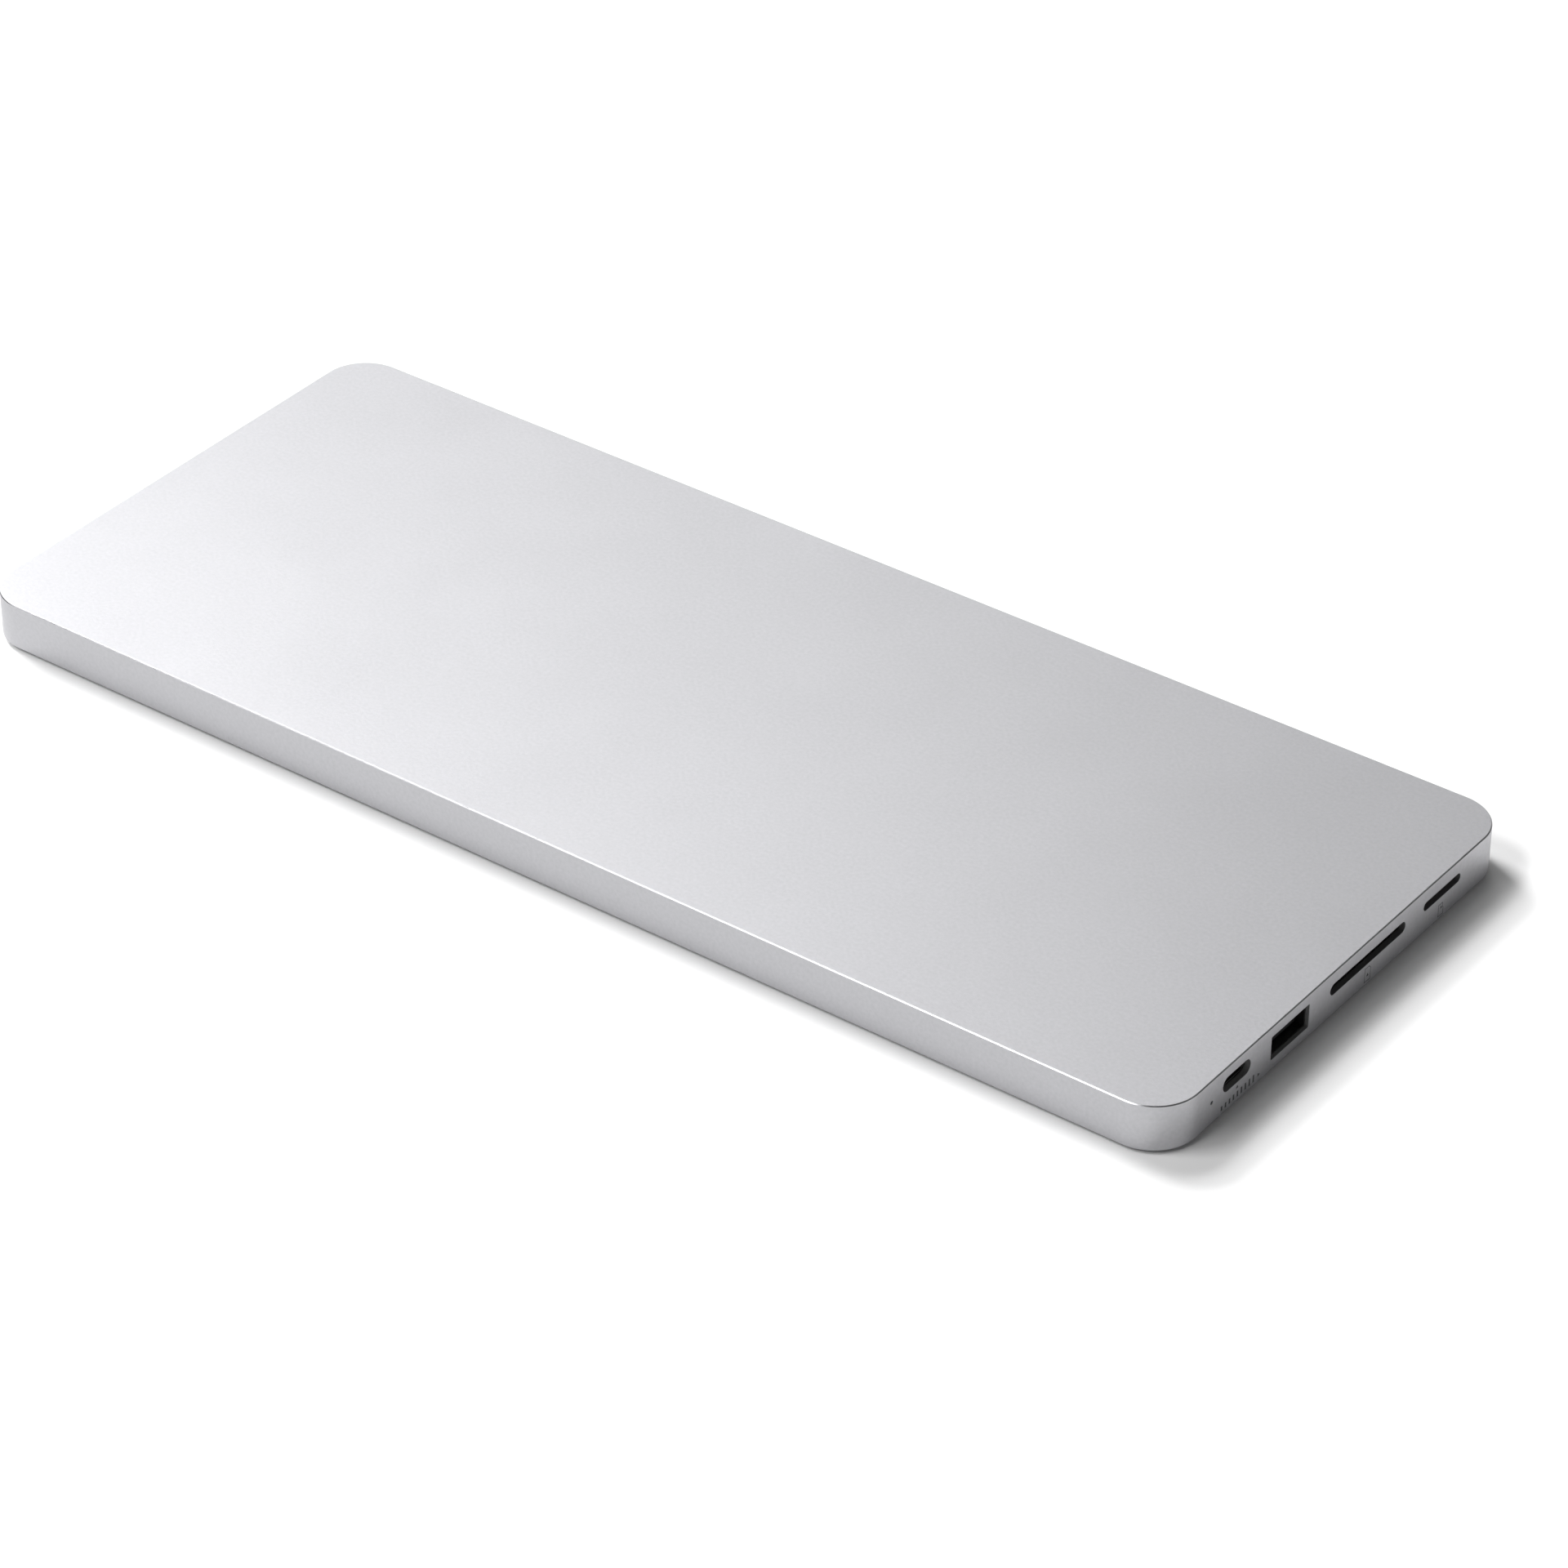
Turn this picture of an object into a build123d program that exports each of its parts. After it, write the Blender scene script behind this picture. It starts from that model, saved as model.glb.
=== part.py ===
"""Slim slab-shaped USB hub with an SSD bay underneath, in millimetres.

Frame: +X to the end wall that carries the card slots, -Y to the plain front wall, +Z up.
The origin is on the surface the hub stands on, under the middle of the slab.
The circuit board hangs under the ceiling, so the connectors hang below the board.
"""

import os

from build123d import *

# ---- overall sizes -------------------------------------------------------------------------
LENGTH = 284.0  # along X
DEPTH = 117.0  # along Y
WALL_HEIGHT = 10.0
FLOOR_GAP = 0.8  # feet hold the walls this far off the table
CORNER_R = 9.6
SIDE_WALL = 1.2
TOP_THICK = 1.2
EDGE_CHAMFER = 0.2
LOWER_EDGE_R = 0.12

TOP_Z = FLOOR_GAP + WALL_HEIGHT
CEILING_Z = TOP_Z - TOP_THICK
END_X = LENGTH / 2
BACK_Y = DEPTH / 2

# ---- bottom cover, feet and SSD door -------------------------------------------------------
COVER_Z = 1.0
COVER_THICK = 1.8
COVER_TOP_Z = COVER_Z + COVER_THICK
COVER_GAP = 0.15
FOOT_LENGTH = 34.0
FOOT_WIDTH = 7.0
FOOT_RECESS = 0.6
FOOT_X = 104.0
FOOT_Y = 46.0
BAY_LENGTH = 98.0
BAY_WIDTH = 28.0
DOOR_MARGIN = 7.0  # the door reaches this far past the bay at each end
DOOR_SIDE = 3.0  # and this far past each side
DOOR_SEAT = 1.15  # depth of the rebate that the door lies in
DOOR_THICK = 1.0
DOOR_CORNER_R = 3.0
DOOR_GAP = 0.2
DOOR_SCREW_X = BAY_LENGTH / 2 + 3.2
PAD_X = 3.0
PAD_LENGTH = 66.0
PAD_WIDTH = 20.0
PAD_THICK = 0.9
THUMB_NOTCH_R = 6.0
THUMB_NOTCH_DEEP = 0.6
COVER_CHAMFER = 0.25
DOOR_CHAMFER = 0.2
DOOR_PLUG_GAP = 0.4  # the door's raised middle fits the bay with this gap all round
FOOT_FIT = 0.15  # gap all round a foot in its seat
FOOT_EDGE_R = 0.35

# ---- screws: M2, plain where the thread is -------------------------------------------------
THREAD_R = 1.0
SHANK_R = 0.95
CLEAR_R = THREAD_R + 0.1
FLAT_HEAD_R = 1.85
FLAT_HEAD_TALL = 0.9
FLAT_HEAD_SUNK = 0.05  # below the face of the cover or door
SINK_R = FLAT_HEAD_R + 0.15
SINK_ANGLE = 90.0
SCREW_POINT = 0.3
PAN_HEAD_R = 1.9
PAN_HEAD_TALL = 0.7
PAN_HEAD_EDGE_R = 0.3
CROSS_LONG = 1.9
CROSS_WIDE = 0.42
CROSS_DEEP = 0.5
COVER_BOSS_R = 3.3
COVER_SCREW_PLACES = [(x, y) for x in (-131.0, 0.0, 131.0) for y in (-51.0, 51.0)]
COVER_SCREW_LENGTH = 5.0
COVER_TAP_DEEP = 4.5
BOARD_SCREW_LENGTH = 1.7
DOOR_SCREW_LENGTH = 3.3
DRIVE_SCREW_LENGTH = 2.2

# ---- circuit board -------------------------------------------------------------------------
BOARD_THICK = 0.8
BOARD_Z = TOP_Z - 2.3  # underside, where every part is soldered
BOARD_TOP_Z = BOARD_Z + BOARD_THICK
BOARD_LEFT_X = -58.0
BOARD_EDGE_GAP = 0.6
BOARD_RIGHT_X = END_X - SIDE_WALL - BOARD_EDGE_GAP
BOARD_HALF_WIDTH = 46.0
BOARD_TAB = (22.0, 112.0)  # X range of the tab that reaches the back wall
BOARD_TAB_Y = BACK_Y - SIDE_WALL - BOARD_EDGE_GAP
BOARD_SCREW_PLACES = [(x, y) for x in (-52.0, 30.0, 106.0) for y in (-41.0, 38.0)]
BOARD_HOLE_R = 1.1
BOARD_CORNER_R = 1.5
STANDOFF_HOLE_R = 1.3
STUD_R = 2.2
TAPPED_ROOF = 0.5  # metal left at the bottom of each blind thread
FILM_THICK = 0.1
FILM_Z = BOARD_TOP_Z + 0.1
FILM_INSET = 0.6  # the film stops this far inside the board's edge

# ---- ports: Y along the end wall or X along the back wall, and height ----------------------
PORT_SETBACK = 0.1  # each connector stands this far behind the wall
USB_A_RELIEF = 0.4  # the wall is milled this much thinner behind each USB-A hole
USB_A_POCKET = (13.5, 6.1)
USB_A_POCKET_R = 0.6
USB_C_Y = -36.2
USB_C_Z = BOARD_Z - 3.16 / 2
USB_A_Y = -18.5
USB_A_Z = 5.92
SD_Y = 7.9
MICRO_SD_Y = 33.9
CARD_Z = 6.87
HOST_X = 38.0
REAR_USB_A_X = {"left": 64.0, "right": 88.0}
LED_Y = -44.3
LED_Z = 5.83
LED_HOLE_R = 0.4

USB_C_HOLE = (9.0, 3.2)
USB_A_HOLE = (12.6, 5.2)
USB_A_HOLE_R = 0.25
SD_HOLE = (25.9, 2.4)
MICRO_SD_HOLE = (13.0, 1.9)

# ---- M.2 drive socket and its standoff -----------------------------------------------------
M2_SOCKET_X = 40.0  # the face that the drive plugs into
M2_SOCKET_SIZE = (8.7, 22.0, 4.2)
M2_SLOT_SIZE = (5.5, 20.1, 1.1)
M2_SLOT_Z = BOARD_Z - 2.9
M2_PITCH = 0.5
M2_KEY_Y = 6.125
M2_POST = (3.2, 0.9)  # length and width of the post in the drive's key notch
M2_LEAD_IN = (2.0, 1.6)  # length and height of the lead-in under the slot
DRIVE_LENGTHS = (30.0, 42.0, 60.0, 80.0)  # the standoff stands where the longest one ends
STANDOFF_X = M2_SOCKET_X + M2_SLOT_SIZE[0] - max(DRIVE_LENGTHS)
STANDOFF_R = 2.75
STANDOFF_TALL = 2.5

os.makedirs("parts", exist_ok=True)


def save(part, name):
    """Labels one finished piece and writes its STEP."""
    part.label = name
    export_step(part, f"parts/{name}.step")


def end_mouth(y, z, relief=0.0):
    """Plane across a connector's mouth in the end wall: x along the wall, y up, z outwards."""
    return Plane((END_X - SIDE_WALL - PORT_SETBACK + relief, y, z), x_dir=(0, 1, 0), z_dir=(1, 0, 0))


def back_mouth(x, z, relief=0.0):
    """The same for the back wall."""
    return Plane((x, BACK_Y - SIDE_WALL - PORT_SETBACK + relief, z), x_dir=(-1, 0, 0), z_dir=(0, 1, 0))


USB_C_MOUTH = end_mouth(USB_C_Y, USB_C_Z)
USB_A_MOUTH = end_mouth(USB_A_Y, USB_A_Z, USB_A_RELIEF)
SD_MOUTH = end_mouth(SD_Y, CARD_Z)
MICRO_SD_MOUTH = end_mouth(MICRO_SD_Y, CARD_Z)
HOST_MOUTH = back_mouth(HOST_X, USB_C_Z)
REAR_USB_A_MOUTHS = {side: back_mouth(x, USB_A_Z, USB_A_RELIEF) for side, x in REAR_USB_A_X.items()}


# ---- top housing ---------------------------------------------------------------------------
def slab(z, inset=0.0):
    """Rounded outline of the hub at height z, drawn in by inset."""
    with BuildSketch(Plane.XY.offset(z)) as outline:
        RectangleRounded(LENGTH - 2 * inset, DEPTH - 2 * inset, CORNER_R - inset)
    return outline.sketch


def wall_hole(mouth, size, rounded):
    """Cuts one port hole through the wall in front of a mouth plane."""
    width, height = size
    with BuildSketch(mouth) as hole:
        if rounded:
            SlotOverall(width, height)
        else:
            RectangleRounded(width, height, USB_A_HOLE_R)
    extrude(hole.sketch, amount=2 * SIDE_WALL, mode=Mode.SUBTRACT)


with BuildPart() as top_housing:
    extrude(slab(FLOOR_GAP), amount=WALL_HEIGHT)
    chamfer(top_housing.edges().group_by(Axis.Z)[-1], EDGE_CHAMFER)
    fillet(top_housing.edges().group_by(Axis.Z)[0], LOWER_EDGE_R)
    extrude(slab(FLOOR_GAP, SIDE_WALL), amount=CEILING_Z - FLOOR_GAP, mode=Mode.SUBTRACT)
    # bosses for the bottom cover's screws, and studs that the board hangs on
    with BuildSketch(Plane.XY.offset(COVER_TOP_Z)):
        with Locations(*COVER_SCREW_PLACES):
            Circle(COVER_BOSS_R)
    extrude(amount=CEILING_Z - COVER_TOP_Z)
    with BuildSketch(Plane.XY.offset(BOARD_TOP_Z)):
        with Locations(*BOARD_SCREW_PLACES):
            Circle(STUD_R)
    extrude(amount=CEILING_Z - BOARD_TOP_Z)
    with BuildSketch(Plane.XY.offset(COVER_TOP_Z)):
        with Locations(*COVER_SCREW_PLACES):
            Circle(THREAD_R)
    extrude(amount=COVER_TAP_DEEP, mode=Mode.SUBTRACT)
    with BuildSketch(Plane.XY.offset(BOARD_TOP_Z)):
        with Locations(*BOARD_SCREW_PLACES):
            Circle(THREAD_R)
    extrude(amount=TOP_Z - TAPPED_ROOF - BOARD_TOP_Z, mode=Mode.SUBTRACT)
    wall_hole(USB_C_MOUTH, USB_C_HOLE, rounded=True)
    wall_hole(SD_MOUTH, SD_HOLE, rounded=True)
    wall_hole(MICRO_SD_MOUTH, MICRO_SD_HOLE, rounded=True)
    wall_hole(HOST_MOUTH, USB_C_HOLE, rounded=True)
    for mouth in (USB_A_MOUTH, *REAR_USB_A_MOUTHS.values()):
        wall_hole(mouth, USB_A_HOLE, rounded=False)
        # pocket milled into the inside of the wall, where the connector's mouth stands
        with BuildSketch(mouth.offset(PORT_SETBACK)) as pocket:
            RectangleRounded(*USB_A_POCKET, USB_A_POCKET_R)
        extrude(pocket.sketch, amount=-2 * USB_A_RELIEF, mode=Mode.SUBTRACT)
    with BuildSketch(end_mouth(LED_Y, LED_Z)):
        Circle(LED_HOLE_R)
    extrude(amount=2 * SIDE_WALL, mode=Mode.SUBTRACT)
save(top_housing.part, "top_housing")


# ---- bottom cover --------------------------------------------------------------------------
FOOT_PLACES = {
    f"{row}_{side}": (sx * FOOT_X, sy * FOOT_Y)
    for row, sy in (("front", -1), ("rear", 1))
    for side, sx in (("left", -1), ("right", 1))
}
DOOR_SEAT_SIZE = (BAY_LENGTH + 2 * DOOR_MARGIN, BAY_WIDTH + 2 * DOOR_SIDE)
DOOR_SCREW_BOSS_R = 2.75
DOOR_SCREW_BOSS_TALL = 2.4
DOOR_SCREW_PLACES = {"left": (-DOOR_SCREW_X, 0.0), "right": (DOOR_SCREW_X, 0.0)}

with BuildPart() as bottom_cover:
    extrude(slab(COVER_Z, SIDE_WALL + COVER_GAP), amount=COVER_THICK)
    chamfer(bottom_cover.edges().group_by(Axis.Z)[0], COVER_CHAMFER)
    # rebate and opening for the SSD door
    with BuildSketch(Plane.XY.offset(COVER_Z)):
        RectangleRounded(*DOOR_SEAT_SIZE, DOOR_CORNER_R)
    extrude(amount=DOOR_SEAT, mode=Mode.SUBTRACT)
    with BuildSketch(Plane.XY.offset(COVER_Z)):
        RectangleRounded(BAY_LENGTH, BAY_WIDTH, DOOR_CORNER_R - 1)
    extrude(amount=COVER_THICK, mode=Mode.SUBTRACT)
    # shallow thumb notch beside the door
    with BuildSketch(Plane.XY.offset(COVER_Z)):
        with Locations((0, -DOOR_SEAT_SIZE[1] / 2)):
            Circle(THUMB_NOTCH_R)
    extrude(amount=THUMB_NOTCH_DEEP, mode=Mode.SUBTRACT)
    # threaded bosses for the door's screws
    with BuildSketch(Plane.XY.offset(COVER_TOP_Z)):
        with Locations(*DOOR_SCREW_PLACES.values()):
            Circle(DOOR_SCREW_BOSS_R)
    extrude(amount=DOOR_SCREW_BOSS_TALL)
    with BuildSketch(Plane.XY.offset(COVER_Z)):
        with Locations(*DOOR_SCREW_PLACES.values()):
            Circle(THREAD_R)
    extrude(amount=COVER_THICK + DOOR_SCREW_BOSS_TALL - TAPPED_ROOF, mode=Mode.SUBTRACT)
    # seats for the stuck-on feet
    with BuildSketch(Plane.XY.offset(COVER_Z)):
        with Locations(*FOOT_PLACES.values()):
            SlotOverall(FOOT_LENGTH + 2 * FOOT_FIT, FOOT_WIDTH + 2 * FOOT_FIT)
    extrude(amount=FOOT_RECESS, mode=Mode.SUBTRACT)
    # countersunk holes for the cover's own screws
    with Locations(*[Plane((x, y, COVER_Z), x_dir=(1, 0, 0), z_dir=(0, 0, -1)).location
                     for x, y in COVER_SCREW_PLACES]):
        CounterSinkHole(CLEAR_R, SINK_R, COVER_THICK, SINK_ANGLE)
save(bottom_cover.part, "bottom_cover")

for place, (x, y) in FOOT_PLACES.items():
    with BuildPart() as foot:
        with BuildSketch(Plane.XY) as sole:
            with Locations((x, y)):
                SlotOverall(FOOT_LENGTH, FOOT_WIDTH)
        extrude(amount=COVER_Z + FOOT_RECESS)
        fillet(foot.edges().group_by(Axis.Z)[0], FOOT_EDGE_R)
    save(foot.part, f"foot_{place}")


# ---- SSD door and its thermal pad ----------------------------------------------------------
with BuildPart() as ssd_door:
    with BuildSketch(Plane.XY.offset(COVER_Z)):
        RectangleRounded(
            DOOR_SEAT_SIZE[0] - 2 * DOOR_GAP, DOOR_SEAT_SIZE[1] - 2 * DOOR_GAP, DOOR_CORNER_R - DOOR_GAP
        )
    extrude(amount=DOOR_THICK)
    chamfer(ssd_door.edges().group_by(Axis.Z)[0], DOOR_CHAMFER)
    with BuildSketch(Plane.XY.offset(COVER_Z + DOOR_THICK)):
        RectangleRounded(
            BAY_LENGTH - 2 * DOOR_PLUG_GAP, BAY_WIDTH - 2 * DOOR_PLUG_GAP, DOOR_CORNER_R - 1 - DOOR_PLUG_GAP
        )
    extrude(amount=COVER_THICK - DOOR_THICK)
    with Locations(*[Plane((x, y, COVER_Z), x_dir=(1, 0, 0), z_dir=(0, 0, -1)).location
                     for x, y in DOOR_SCREW_PLACES.values()]):
        CounterSinkHole(CLEAR_R, SINK_R, DOOR_THICK, SINK_ANGLE)
save(ssd_door.part, "ssd_door")

with BuildPart() as ssd_thermal_pad:
    with BuildSketch(Plane.XY.offset(COVER_TOP_Z)):
        with Locations((PAD_X, 0)):
            RectangleRounded(PAD_LENGTH, PAD_WIDTH, 0.5)
    extrude(amount=PAD_THICK)
save(ssd_thermal_pad.part, "ssd_thermal_pad")


# ---- screws --------------------------------------------------------------------------------
def cross_recess(face_plane):
    """Cuts a cross recess down from the outer face of a screw head."""
    with BuildSketch(face_plane) as cross:
        Rectangle(CROSS_LONG, CROSS_WIDE)
        Rectangle(CROSS_WIDE, CROSS_LONG)
    extrude(cross.sketch, amount=-CROSS_DEEP, mode=Mode.SUBTRACT)


def flat_screw(length):
    """Countersunk screw pointing up, with the face of its head at the origin."""
    with BuildPart() as screw:
        with BuildSketch(Plane.XZ):
            with BuildLine():
                Polyline(
                    (0, 0), (FLAT_HEAD_R, 0), (SHANK_R, FLAT_HEAD_TALL), (SHANK_R, length - SCREW_POINT),
                    (SHANK_R - SCREW_POINT, length), (0, length), close=True
                )
            make_face()
        revolve(axis=Axis.Z)
        cross_recess(Plane.XY.reverse())
    return screw.part


def pan_screw(length):
    """Pan-head screw pointing up, with the seat of its head at the origin."""
    with BuildPart() as screw:
        with BuildSketch(Plane.XY.offset(-PAN_HEAD_TALL)):
            Circle(PAN_HEAD_R)
        extrude(amount=PAN_HEAD_TALL)
        fillet(screw.edges().group_by(Axis.Z)[0], PAN_HEAD_EDGE_R)
        with BuildSketch(Plane.XY):
            Circle(SHANK_R)
        extrude(amount=length)
        cross_recess(Plane.XY.offset(-PAN_HEAD_TALL).reverse())
    return screw.part


HEAD_Z = COVER_Z + FLAT_HEAD_SUNK
for side, (x, y) in DOOR_SCREW_PLACES.items():
    save(Pos(x, y, HEAD_Z) * flat_screw(DOOR_SCREW_LENGTH), f"ssd_door_screw_{side}")
save(
    Compound([Pos(x, y, HEAD_Z) * flat_screw(COVER_SCREW_LENGTH) for x, y in COVER_SCREW_PLACES]),
    "bottom_cover_screws",
)
save(Compound([Pos(x, y, BOARD_Z) * pan_screw(BOARD_SCREW_LENGTH) for x, y in BOARD_SCREW_PLACES]),
     "board_screws")
save(Pos(STANDOFF_X, 0, BOARD_Z - STANDOFF_TALL) * pan_screw(DRIVE_SCREW_LENGTH), "m2_drive_screw")


# ---- circuit board and the film between it and the ceiling ----------------------------------
USB_A_NOTCH = (14.4, 13.8)  # the USB-A bodies sink into notches in the board's edge


def board_outline(z, hole_r, inset=0.0):
    """The board's outline at height z: a wide strip with a tab that reaches the back wall."""
    length = BOARD_RIGHT_X - BOARD_LEFT_X
    with BuildSketch(Plane.XY.offset(z)) as outline:
        with Locations(((BOARD_LEFT_X + BOARD_RIGHT_X) / 2, 0)):
            RectangleRounded(length - 2 * inset, 2 * (BOARD_HALF_WIDTH - inset), BOARD_CORNER_R)
        with Locations((sum(BOARD_TAB) / 2, BOARD_TAB_Y / 2)):
            Rectangle(BOARD_TAB[1] - BOARD_TAB[0] - 2 * inset, BOARD_TAB_Y - 2 * inset)
        with Locations((END_X - SIDE_WALL - PORT_SETBACK - USB_A_NOTCH[0] / 2, USB_A_Y)):
            Rectangle(USB_A_NOTCH[0] + 2 * inset, USB_A_NOTCH[1] + 2 * inset, mode=Mode.SUBTRACT)
        with Locations(*[(x, BACK_Y - SIDE_WALL - PORT_SETBACK - USB_A_NOTCH[0] / 2)
                         for x in REAR_USB_A_X.values()]):
            Rectangle(USB_A_NOTCH[1] + 2 * inset, USB_A_NOTCH[0] + 2 * inset, mode=Mode.SUBTRACT)
        with Locations(*BOARD_SCREW_PLACES):
            Circle(hole_r, mode=Mode.SUBTRACT)
    return outline.sketch


with BuildPart() as main_board:
    extrude(board_outline(BOARD_Z, BOARD_HOLE_R), amount=BOARD_THICK)
    # plated holes where the drive standoff fits, one for each drive length
    with BuildSketch(Plane.XY.offset(BOARD_Z)):
        with Locations(*[(M2_SOCKET_X + M2_SLOT_SIZE[0] - d, 0) for d in DRIVE_LENGTHS]):
            Circle(STANDOFF_HOLE_R)
    extrude(amount=BOARD_THICK, mode=Mode.SUBTRACT)
save(main_board.part, "main_board")

with BuildPart() as insulation_film:
    extrude(board_outline(FILM_Z, STUD_R + 0.3, inset=FILM_INSET), amount=FILM_THICK)
save(insulation_film.part, "insulation_film")


# ---- M.2 drive socket ----------------------------------------------------------------------
with BuildPart() as m2_socket:
    long_x, wide_y, tall_z = M2_SOCKET_SIZE
    with Locations((M2_SOCKET_X + long_x / 2, 0, BOARD_Z - tall_z / 2)):
        Box(long_x, wide_y, tall_z)
    fillet(m2_socket.edges().filter_by(Axis.X), 0.3)
    with Locations((M2_SOCKET_X + M2_SLOT_SIZE[0] / 2, 0, M2_SLOT_Z)):
        Box(*M2_SLOT_SIZE, mode=Mode.SUBTRACT)
    # lead-in under the slot, where the drive tilts in
    with Locations((M2_SOCKET_X + M2_LEAD_IN[0] / 2, 0, M2_SLOT_Z - 1.2)):
        Box(M2_LEAD_IN[0], M2_SLOT_SIZE[1], M2_LEAD_IN[1], mode=Mode.SUBTRACT)
    # post that fits the drive's key notch
    with Locations((M2_SOCKET_X + M2_SLOT_SIZE[0] - M2_POST[0] / 2, M2_KEY_Y, M2_SLOT_Z)):
        Box(*M2_POST, M2_SLOT_SIZE[2])
save(m2_socket.part, "m2_socket")

# 75 contact places, odd ones above the drive and even ones below, less the eight at the key
M2_CONTACT = (3.4, 0.3, 0.2)
m2_contacts = [
    Pos(
        M2_SOCKET_X + M2_SLOT_SIZE[0] - M2_CONTACT[0] / 2,
        (pin - 38) * M2_PITCH / 2,
        M2_SLOT_Z + (1 if pin % 2 else -1) * (M2_SLOT_SIZE[2] - M2_CONTACT[2]) / 2,
    )
    * Box(*M2_CONTACT)
    for pin in range(1, 76)
    if not 59 <= pin <= 66
]
save(Compound(m2_contacts), "m2_socket_contacts")

with BuildPart() as m2_standoff:
    with BuildSketch(Plane.XY.offset(BOARD_Z - STANDOFF_TALL)):
        with Locations((STANDOFF_X, 0)):
            Circle(STANDOFF_R)
            Circle(THREAD_R, mode=Mode.SUBTRACT)
    extrude(amount=STANDOFF_TALL)
    chamfer(m2_standoff.edges().group_by(Axis.Z)[0].sort_by(SortBy.RADIUS)[-1], 0.25)
save(m2_standoff.part, "m2_standoff")


# ---- USB-C receptacles ---------------------------------------------------------------------
C_SHELL = (8.94, 3.16)
C_MOUTH = (8.34, 2.56)
C_LENGTH = 7.4
C_BACK = 1.6
C_TONGUE = (6.69, 0.7)
C_TONGUE_TIP = 1.0  # behind the mouth
C_PAD = (0.25, 0.08, 3.6)
C_PAD_PITCH = 0.5


def usb_c_shell(mouth):
    """Drawn steel tube with round ends, open at both ends."""
    with BuildPart() as shell:
        with BuildSketch(mouth):
            SlotOverall(*C_SHELL)
            SlotOverall(*C_MOUTH, mode=Mode.SUBTRACT)
        extrude(amount=-C_LENGTH)
    return shell.part


def usb_c_insulator(mouth):
    """Back block that fills the tube, with the tongue standing forward from it."""
    with BuildPart() as insulator:
        with BuildSketch(mouth.offset(-C_LENGTH)):
            SlotOverall(*C_MOUTH)
        extrude(amount=C_BACK)
        with BuildSketch(mouth.offset(C_BACK - C_LENGTH)):
            RectangleRounded(*C_TONGUE, 0.3)
        extrude(amount=C_LENGTH - C_BACK - C_TONGUE_TIP)
    return insulator.part


def usb_c_contacts(mouth):
    """Twelve pads on each side of the tongue."""
    width, thick, long = C_PAD
    with BuildPart() as contacts:
        for side in (-1, 1):
            with BuildSketch(mouth.offset(-C_TONGUE_TIP - 0.4)):
                with Locations((0, side * (C_TONGUE[1] + thick) / 2)):
                    with GridLocations(C_PAD_PITCH, 0, 12, 1):
                        Rectangle(width, thick)
            extrude(amount=-long)
    return contacts.part


for name, mouth in (("usb_c_data", USB_C_MOUTH), ("usb_c_host", HOST_MOUTH)):
    save(usb_c_shell(mouth), f"{name}_shell")
    save(usb_c_insulator(mouth), f"{name}_insulator")
    save(usb_c_contacts(mouth), f"{name}_contacts")


# ---- USB-A receptacles, upside down so that the tongue is in the lower half ------------------
A_SHELL = (13.1, 5.72)
A_MOUTH = (12.5, 5.12)
A_LENGTH = 14.0
A_BACK = 2.4
A_TONGUE = (11.1, 1.84)
A_TONGUE_Y = -1.0  # middle of the tongue below the middle of the mouth
A_TONGUE_TIP = 1.6
A_EAR = (1.8, 0.3, 6.0)
A_EAR_START = 3.0  # behind the mouth
A_SPRING = (1.6, 0.2, 6.0)
A_SPRING_SLOT = 2.4  # width of the slot that the spring is pressed from
A_SPRING_X = 3.3
A_SPRING_START = 3.2
A_CONTACT_X = (-3.5, -1.0, 1.0, 3.5)
A_CONTACT = (1.0, 0.2, 5.0)
A_CONTACT_START = 3.4  # behind the tongue's tip
A_FAST_CONTACT = (0.7, 0.1, 2.0)
A_FAST_START = 0.6


def usb_a_shell(mouth):
    """Folded steel shell with two soldering ears that lie against the board's underside."""
    ear_top = BOARD_Z - USB_A_Z
    with BuildPart() as shell:
        with BuildSketch(mouth):
            RectangleRounded(*A_SHELL, 0.5)
            RectangleRounded(*A_MOUTH, 0.25, mode=Mode.SUBTRACT)
        extrude(amount=-A_LENGTH)
        with BuildSketch(mouth.offset(-A_EAR_START)):
            with Locations((0, ear_top - A_EAR[1] / 2)):
                with GridLocations(A_SHELL[0] + A_EAR[0] - 0.4, 0, 2, 1):
                    Rectangle(A_EAR[0], A_EAR[1])
        extrude(amount=-A_EAR[2])
        # pressed springs that grip the plug, two above and two below, with their slots
        for side in (-1, 1):
            face = side * (A_SHELL[1] + A_MOUTH[1]) / 4
            places = [(-A_SPRING_X, face), (A_SPRING_X, face)]
            with BuildSketch(mouth.offset(-A_SPRING_START)):
                with Locations(*places):
                    Rectangle(A_SPRING_SLOT, A_SHELL[1] - A_MOUTH[1])
            extrude(amount=-A_SPRING[2], mode=Mode.SUBTRACT)
            with BuildSketch(mouth.offset(-A_SPRING_START)):
                with Locations(*places):
                    Rectangle(A_SPRING[0], A_SPRING[1])
            extrude(amount=-A_SPRING[2])
    return shell.part


def usb_a_insulator(mouth):
    """Back block that fills the shell, with the flat tongue standing forward from it."""
    with BuildPart() as insulator:
        with BuildSketch(mouth.offset(-A_LENGTH)):
            RectangleRounded(*A_MOUTH, 0.25)
        extrude(amount=A_BACK)
        with BuildSketch(mouth.offset(A_BACK - A_LENGTH)):
            with Locations((0, A_TONGUE_Y)):
                Rectangle(*A_TONGUE)
        extrude(amount=A_LENGTH - A_BACK - A_TONGUE_TIP)
    return insulator.part


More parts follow.
